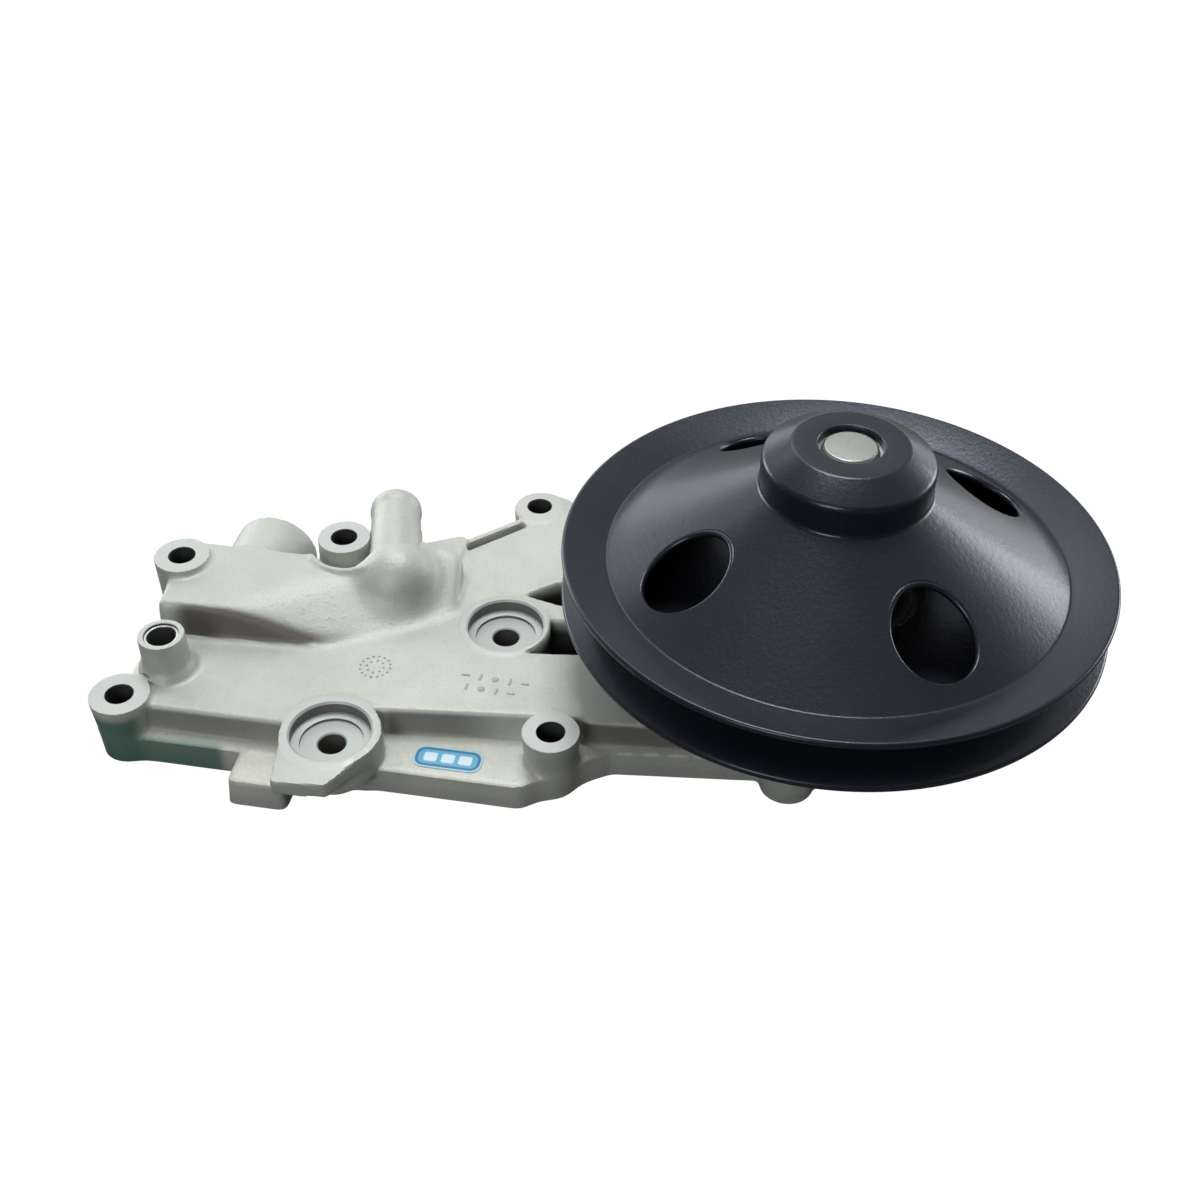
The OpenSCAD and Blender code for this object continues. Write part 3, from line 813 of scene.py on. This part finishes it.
def castHousing():
    tree = fieldTree("housingField", housingField, *castingBox, ["Voxel", "Edge", "Fillet", "Waviness"])
    piece = newObject("castHousing", bpy.data.meshes.new("castHousing"))
    grow(piece, tree, {"Voxel": castingSizes["voxel"], "Edge": castingSizes["edge"],
                       "Fillet": castingSizes["fillet"], "Waviness": castingSizes["waviness"],
                       "Finish": finishes["cast"]})
    print("casting skinned:", len(piece.data.polygons), "faces")
    thin = piece.modifiers.new("thin", "DECIMATE")
    thin.ratio = min(1, castingSizes["triangles"] / (2 * len(piece.data.polygons)))
    applyModifiers(piece)
    for finish in castingFinishes[1:]:
        piece.data.materials.append(finishes[finish])
    print("casting thinned:", len(piece.data.polygons), "faces")
    return piece


# Cutter of stepped round tools, each a list of (r, z), its place and, if it isn't told from the width of
# each face, the finish that it leaves
def cutter(name, tools, segments=96):
    work = bmesh.new()
    for corners, place, *finish in tools:
        done = len(work.faces)
        lathe(work, [Vector(corner) for corner in corners], segments, place)
        work.faces.ensure_lookup_table()
        for face in work.faces[done:]:
            spots = [place.inverted() @ (vert.co / mm) for vert in face.verts]
            # Faces of narrow tools get the near-black finish, which is painted shade
            narrow = max(math.hypot(spot.x, spot.y) for spot in spots) < narrowBore
            named = finish[0] if finish else "bore" if narrow else "machined"
            face.material_index = castingFinishes.index(named)
    bmesh.ops.recalc_face_normals(work, faces=work.faces[:])
    mesh = meshFromBmesh(name, work)
    for finish in castingFinishes:
        mesh.materials.append(finishes[finish])
    return newObject(name, mesh)


def upright(x, y, z=0.0):
    return Matrix.Translation((x, y, z))


# Drill from below to a bevelled mouth, then a flat cut out to a width and up to a height
def drill(radius, mouth, width, high, bevel=0.25, lift=0.0):
    return [(0, drillFrom), (radius, drillFrom), (radius, mouth - bevel), (radius + 0.2, mouth),
            (width, mouth + lift), (width, high), (0, high)]


# Plain round tool between two heights
def plainDrill(radius, low, high):
    return [(0, low), (radius, low), (radius, high), (0, high)]


spigotPlace = (Matrix.Translation(spigot["root"]) @ Matrix.Rotation(math.radians(spigot["turn"]), 4, "Z")
               @ Matrix.Rotation(math.radians(-90), 4, "X"))
stubPlace = Matrix.Translation((stub["x"], 0, stub["z"])) @ Matrix.Rotation(math.radians(-90), 4, "X")
weepPlace = upright(0, 0, weepHole["height"]) @ Matrix.Rotation(math.radians(90), 4, "X")
lockPlace = (upright(0, 0, lockHole["height"]) @ Matrix.Rotation(math.radians(lockHole["turn"]), 4, "Z")
             @ Matrix.Rotation(math.radians(90), 4, "Y"))


# Counterbore of a sunk boss, with a narrow step round its face and a flat rim
def sinkTool(radius):
    r, step, wide, rim = boltHole, sink["floor"], sink["radius"], castingSizes["rimTop"]
    return [(0, drillFrom), (r, drillFrom), (r, step - 0.4), (r + 0.4, step), (sink["ledge"], step),
            (sink["ledge"], step + 0.9), (wide, step + 1.2), (wide, rim - 0.6), (wide + 0.6, rim),
            (radius + 1.6, rim), (radius + 1.6, rim + 6), (0, rim + 6)]


# Impeller chamber, seal pocket and bearing bore, then the tower's flat top
def towerTool():
    return [(0, drillFrom), (chamber["radius"], drillFrom), (chamber["radius"], chamber["roof"]),
            (chamber["seal"], chamber["roof"]), (chamber["seal"], chamber["sealRoof"]),
            (chamber["throat"], chamber["sealRoof"]), (chamber["throat"], chamber["seat"]),
            (chamber["bearing"], chamber["seat"]), (chamber["bearing"], tower["face"] - 0.5),
            (chamber["bearing"] + 0.5, tower["face"]), (30, tower["face"]), (30, drillTo), (0, drillTo)]


def gasketTool():
    work = bmesh.new()
    place = Matrix.Translation(gasketCut["middle"]) @ Matrix.Diagonal((*gasketCut["size"], 1))
    bmesh.ops.create_cube(work, size=1, matrix=place)
    for face in work.faces:
        face.material_index = castingFinishes.index("machined")
    tool = newObject("gasketTool", meshFromBmesh("gasketTool", work, False))
    for finish in castingFinishes:
        tool.data.materials.append(finishes[finish])
    return tool


def machineHousing(piece):
    tools = []
    for x, y, top, radius in tallBosses:
        wide = radius + 1.0 if top > 19 else boltHole + 0.2
        tools.append((drill(boltHole, top, wide, top + 5, lift=0.01), upright(x, y)))
    for x, y, top, _ in lowBosses:
        tools.append((drill(boltHole, top, spotface, 30), upright(x, y)))
    for x, y, radius in sunkBosses:
        tools.append((sinkTool(radius), upright(x, y), "machined"))
    top = guideTube["top"]
    tools.append((drill(guideTube["bore"], top, 9, top + 5, 0.2), upright(*guideTube["at"])))
    tools.append((towerTool(), Matrix.Identity(4)))
    tools.append((plainDrill(stub["bore"], -12, stub["end"] + 2), stubPlace))
    elbow = spigotPlace @ Vector((0, 0, -spigot["elbow"]))
    riser = [(0, drillFrom), (spigot["bore"], drillFrom), (spigot["bore"], 27), (0, 29)]
    tools.append((riser, upright(elbow.x, elbow.y)))
    cutWith(piece, gasketTool())
    cutWith(piece, cutter("bores", tools))
    sunk, bore = -spigot["sunk"], spigot["bore"]
    seat = [(0, -spigot["elbow"]), (bore, -spigot["elbow"]), (bore, sunk), (spigot["press"], sunk),
            (spigot["press"], 40), (0, 40)]
    cutWith(piece, cutter("crossBores", [
        (seat, spigotPlace),
        (plainDrill(weepHole["radius"], weepHole["from"], crossDrillTo), weepPlace),
        (plainDrill(lockHole["radius"], lockHole["from"], crossDrillTo), lockPlace)]))
    shadeByAngle(piece, 38)
    print("casting machined:", len(piece.data.polygons), "faces")
    return piece


# Any small shape on the points of a ring, turned to face outwards
def ringOfCopies():
    inputs = {"Shape": "Geometry", "Count": "Int", "Radius": "Float", "Centre": "Vector",
              "Finish": "Material"}
    tree, g, given = newTree("ringOfCopies", inputs)
    ring = g.node("GeometryNodeMeshCircle", {}, {"Vertices": given["Count"], "Radius": given["Radius"]})
    order = g.node("GeometryNodeInputIndex")
    turn = g.node("ShaderNodeCombineXYZ", {}, {"Z": order / given["Count"] * (2 * math.pi)})
    copies = g.node("GeometryNodeInstanceOnPoints", {},
                    {"Points": ring, "Instance": given["Shape"], "Rotation": turn})
    placed = g.node("GeometryNodeTransform", {}, {"Geometry": copies, "Translation": given["Centre"]})
    solid = g.node("GeometryNodeRealizeInstances", {}, {"Geometry": placed})
    painted = g.node("GeometryNodeSetMaterial", {}, {"Geometry": solid, "Material": given["Finish"]})
    g.node("NodeGroupOutput", {}, {"Geometry": painted})
    return tree


def joinInto(piece, others):
    work = bmesh.new()
    work.from_mesh(piece.data)
    for other in others:
        work.from_mesh(other.data)
    work.to_mesh(piece.data)
    work.free()
    for other in others:
        bpy.data.objects.remove(other, do_unlink=True)
    return piece


# Low round or square stud standing on z = 0, size in mm
def stud(name, width, depth, height, sides):
    work = bmesh.new()
    root, slim = -0.6, 0.7
    outer = 1 / math.cos(math.pi / sides) if sides == 4 else 1
    rows = []
    for scale, z in ((1, root), (1, height * 0.5), (slim, height)):
        row = []
        for k in range(sides):
            a = 2 * math.pi * (k + 0.5) / sides
            row.append(work.verts.new(Vector((math.cos(a) * width / 2 * outer * scale,
                                              math.sin(a) * depth / 2 * outer * scale, z)) * mm))
        rows.append(row)
    for low, high in zip(rows, rows[1:]):
        bridge(work, low, high)
    work.faces.new(rows[-1])
    return newObject(name, meshFromBmesh(name, work, False))


marks = {"clockAt": (-133.6, -29.6), "clockRings": ((16, 4.6, 0.75), (8, 2.6, 0.65)),
         "rowsAt": ((-96.5, -28.4), (-97.5, -33.4)), "rowSpacing": 4.6, "rowDrop": 0.25, "height": 0.32,
         "shapes": [(2.6, 0.7, 4), (0.8, 2.6, 4), (2.2, 2.2, 12), (0.8, 2.6, 4), (2.4, 0.7, 4)]}


# Date-wheel dots and two rows of plain cast marks
def castMarks(tree):
    z = castingSizes["deckTop"] - 0.02
    made = []
    for count, radius, width in marks["clockRings"]:
        dot = stud(f"clockDots{count}", width, width, marks["height"], 10)
        grow(dot, tree, {"Count": count, "Radius": radius * mm, "Finish": finishes["mark"],
                         "Centre": tuple(Vector((*marks["clockAt"], z)) * mm)})
        made.append(dot)
    for row, (x, y) in enumerate(marks["rowsAt"]):
        for i, (width, depth, sides) in enumerate(marks["shapes"][row:]):
            mark = stud(f"mark{row}{i}", width, depth, marks["height"], sides)
            across = x + (i - 2 + row * 0.5) * marks["rowSpacing"]
            mark.data.transform(Matrix.Translation(Vector((across, y - i * marks["rowDrop"], z)) * mm))
            made.append(mark)
    whole = joinInto(made[0], made[1:])
    whole.name = "castMarks"
    whole.data.materials.clear()
    whole.data.materials.append(finishes["mark"])
    return whole


# Round rim that follows a hole through the pulley's cone
def windowRim(work, angle, steps=72, sides=10):
    centre = Vector((windows["pitch"] * math.cos(angle), windows["pitch"] * math.sin(angle)))
    radius = windows["radius"] + sheet / 2
    drop = (coneTop[1] - coneFoot[1]) / (coneFoot[0] - coneTop[0])
    slope = math.atan(drop)
    half = sheet / 2

    def middle(t):
        x, y = centre.x + radius * math.cos(t), centre.y + radius * math.sin(t)
        r = math.hypot(x, y)
        z = coneTop[1] - (r - coneTop[0]) * drop - half / math.cos(slope)
        return Vector((x, y, z)), Vector((x / r * math.sin(slope), y / r * math.sin(slope), math.cos(slope)))

    rings = []
    for i in range(steps):
        t = 2 * math.pi * i / steps
        point, normal = middle(t)
        ahead, _ = middle(t + 0.01)
        along = (ahead - point).normalized()
        aside = along.cross(normal).normalized()
        rings.append([work.verts.new((point + (aside * math.cos(a) + normal * math.sin(a)) * half) * mm)
                      for a in (2 * math.pi * k / sides for k in range(sides))])
    for i in range(steps):
        bridge(work, rings[i], rings[(i + 1) % steps])


sheet = 2.3
coneTop = (24.4, 81.8)
coneFoot = (66.8, 56.0)
windows = {"pitch": 49.0, "radius": 11.5, "angles": (33, 123, 213, 303)}
# Profiles as (r, z, fillet)
shellProfile = [(9.2, 95.9, 0.5), (16.4, 95.9, 1.8), (24.4, 91.1, 2.0), (24.3, 81.9, 1.6), (*coneFoot, 1.2),
                (68.2, 56.4, 1.0), (80, 60, 1.0), (80, 57.7, 0.9), (68.5, 54.2, 1.5), (65.6, 54.05, 1.0),
                (22.1, 80.4, 2.5), (22.1, 89.8, 1.2), (15.7, 93.6, 1), (9.2, 93.6, 0.4)]
lowerProfile = [(26.3, 47.5, 0.8), (68.5, 47.5, 1.5), (80, 44.0, 0.9), (80, 41.7, 0.9), (68, 45.2, 2.5),
                (26.3, 45.2, 0.8)]
bandProfile = [(66.1, 47.5), (68.1, 47.5, 0.3), (68.1, 54.0, 0.3), (66.1, 54.0)]
hubProfile = [(7.97, 67.0, 0.3), (14, 67.0, 0.8), (14, 80.0, 0.5), (20.5, 80.0, 0.8), (20.5, 90.5, 0.8),
              (15.5, 90.5, 0.5), (15.5, 93.6, 0.3), (7.97, 93.6, 0.4)]


def pulleyShell():
    shell = latheObject("pulleyShell", shellProfile, 256, arcSteps=7)
    punch = plainDrill(windows["radius"] + sheet / 2, 40, 90)
    tools = []
    for angle in windows["angles"]:
        a = math.radians(angle)
        tools.append((punch, upright(windows["pitch"] * math.cos(a), windows["pitch"] * math.sin(a))))
    shell.data.materials.append(finishes["paint"])
    cutWith(shell, cutter("windowTool", tools))
    work = bmesh.new()
    work.from_mesh(shell.data)
    for face in work.faces:
        face.material_index = 0
    for angle in windows["angles"]:
        windowRim(work, math.radians(angle))
    work.to_mesh(shell.data)
    work.free()
    shadeByAngle(shell, 40)
    while len(shell.data.materials) > 1:
        shell.data.materials.pop()
    return shell


shaftRadius = 7.96


# Groove for a row of balls, cut into the shaft at a height
def raceArc(z):
    reach, pitch, steps = 3.16, 10.66, 5
    limit = math.acos((pitch - shaftRadius) / reach)
    return [(pitch - reach * math.cos(limit * k / steps), z + reach * math.sin(limit * k / steps))
            for k in range(-steps, steps + 1)]


def turned(name, corners, finish, node, body, segments=160, angle=32, place=Matrix.Identity(4)):
    piece = latheObject(name, corners, segments, place)
    piece.data.materials.append(finishes[finish])
    shadeByAngle(piece, angle)
    return pieceFor(piece, body, node)


spigotProfile = [(spigot["bore"], -spigot["sunk"]), (spigot["press"], -spigot["sunk"], 0.4),
                 (spigot["press"], 4, 0.5), (8.2, 4.6, 0.5), (8.05, 13.5, 2), (8.5, 15.8, 1.2),
                 (8.3, 18.4, 1.2), (7.2, 20, 0.9), (spigot["bore"], 20, 0.8)]
sleeveProfile = [(4.3, 0, 0.2), (5.2, 0, 0.2), (5.2, 30.7, 0.2), (4.3, 30.7, 0.3)]
shaftProfile = ([(0, 2.5), (7.36, 2.5), (shaftRadius, 3.1)] + raceArc(39) + raceArc(55)
                + [(shaftRadius, 94.3, 0.3), (7.2, 95.1, 0.5), (0, 95.1)])
discProfile = [(7.97, 2.5, 0.3), (11, 2.5, 1.0), (11, 10, 2.0), (29.5, 10, 0.6), (29.5, 12, 0.6),
               (7.97, 12, 0.3)]


# One blade, leaning back along an arc, in the plane of the disc
def bladeShape():
    work = bmesh.new()
    steps, arc, thick, tip = 14, 22.0, 2.2, 28.7
    centre = Vector((9, -arc + 2))
    inner, outer = [], []
    for k in range(steps + 1):
        a = math.radians(92 - 60 * k / steps)
        way = Vector((math.cos(a), math.sin(a)))
        near, far = centre + way * (arc - thick), centre + way * arc
        if far.length > tip:
            break
        inner.append(near)
        outer.append(far)
    rows = [[work.verts.new(Vector((p.x, p.y, z)) * mm) for p in outer + inner[::-1]] for z in (1.6, 10.6)]
    bridge(work, *rows)
    work.faces.new(rows[0][::-1])
    work.faces.new(rows[1])
    edges = [e for e in work.edges if all(v.co.z < 2 * mm for v in e.verts)]
    bmesh.ops.bevel(work, geom=edges, offset=0.35 * mm, segments=2, affect="EDGES", profile=0.5)
    bmesh.ops.recalc_face_normals(work, faces=work.faces[:])
    return newObject("impellerBlades", meshFromBmesh("impellerBlades", work))


def impeller(tree):
    blades = bladeShape()
    grow(blades, tree, {"Count": 6, "Radius": 0.0, "Centre": (0, 0, 0), "Finish": finishes["iron"]})
    disc = latheObject("impellerDisc", discProfile, 160)
    disc.data.materials.append(finishes["iron"])
    whole = joinInto(disc, [blades])
    whole.name = "impellerWheel"
    shadeByAngle(whole, 35)
    return pieceFor(whole, "rotor", "impeller")


def coilSpring():
    inputs = dict.fromkeys(("Turns", "Radius", "Height", "Wire", "Start"), "Float") | {"Finish": "Material"}
    tree, g, given = newTree("coil", inputs)
    coil = g.node("GeometryNodeCurveSpiral", {}, {
        "Resolution": 40, "Rotations": given["Turns"], "Start Radius": given["Radius"],
        "End Radius": given["Radius"], "Height": given["Height"]})
    wire = g.node("GeometryNodeCurvePrimitiveCircle", {}, {"Resolution": 12, "Radius": given["Wire"]})
    solid = g.node("GeometryNodeCurveToMesh", {}, {"Curve": coil, "Profile Curve": wire, "Fill Caps": True})
    lift = g.node("ShaderNodeCombineXYZ", {}, {"Z": given["Start"]})
    placed = g.node("GeometryNodeTransform", {}, {"Geometry": solid, "Translation": lift})
    painted = g.node("GeometryNodeSetMaterial", {}, {"Geometry": placed, "Material": given["Finish"]})
    g.node("NodeGroupOutput", {}, {"Geometry": painted})
    piece = newObject("sealCoil", bpy.data.meshes.new("sealCoil"))
    grow(piece, tree, {"Turns": 3.0, "Radius": 15 * mm, "Height": 5.3 * mm, "Wire": 0.7 * mm,
                       "Start": 20.3 * mm, "Finish": finishes["steel"]})
    shadeByAngle(piece, 50)
    return pieceFor(piece, "root", "seal_spring")


# Rounded rectangle of film; its outline colour comes from its material
def stickOn():
    work = bmesh.new()
    halfX, halfY = label["size"][0] / 2, label["size"][1] / 2
    rows = []
    middle = Vector((*label["at"], castingSizes["flangeTop"] + 0.02))
    steps = 8
    for outward, z in ((0, 0), (0, label["thick"] - label["edge"]), (-label["edge"], label["thick"])):
        row = []
        for cx, cy, start in ((1, 1, 0), (-1, 1, 90), (-1, -1, 180), (1, -1, 270)):
            for k in range(steps + 1):
                a = math.radians(start + 90 * k / steps)
                r = label["corner"] + outward
                point = Vector((cx * (halfX - label["corner"]) + r * math.cos(a),
                                cy * (halfY - label["corner"]) + r * math.sin(a), z))
                row.append(work.verts.new((point + middle) * mm))
        rows.append(row)
    for low, high in zip(rows, rows[1:]):
        bridge(work, low, high)
    work.faces.new(rows[-1])
    work.faces.new(rows[0][::-1])
    piece = newObject("blankLabel", meshFromBmesh("blankLabel", work, False))
    piece.data.materials.append(finishes["label"])
    return pieceFor(piece, "root", "blank_label")


housing = machineHousing(castHousing())
ringTree = ringOfCopies()
pieceFor(housing, "root", "pump_housing")
pieceFor(castMarks(ringTree), "root", "pump_housing")
turned("hoseSpigot", spigotProfile, "cast", "hose_spigot", "root", place=spigotPlace)
turned("guideSleeve", sleeveProfile, "steel", "guide_sleeve", "root", 96,
       place=upright(*guideTube["at"]))
stickOn()
coilSpring()
print("root pieces done")
pieceFor(pulleyShell(), "rotor", "pulley_shell")
turned("lowerFlange", lowerProfile, "paint", "pulley_lower_flange", "rotor", 256)
turned("grooveBand", bandProfile, "paint", "groove_band", "rotor", 256)
turned("pulleyHub", hubProfile, "steel", "pulley_hub", "rotor")
turned("pumpShaft", shaftProfile, "turned", "pump_shaft", "rotor")
impeller(ringTree)
print("rotor pieces done")

# Pieces that keep their meshes from the frame, by the finish that they get
nodeFinishes = {"steel": ["bearing_lock_screw", "bearing_outer_ring", "seal_drive_band",
                          "balls_pulley_side", "balls_impeller_side"],
                "carbon": ["weep_hole_filter", "carbon_ring"],
                "rubber": ["bearing_seal_pulley_side", "bearing_seal_impeller_side", "seal_bellows",
                           "slinger", "seat_grommet"],
                "brass": ["seal_cup"], "ceramic": ["ceramic_seat"],
                "cage": ["cage_pulley_side", "cage_impeller_side"]}
for finish, names in nodeFinishes.items():
    for name in names:
        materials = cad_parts[name].data.materials
        materials.clear()
        materials.append(finishes[finish])
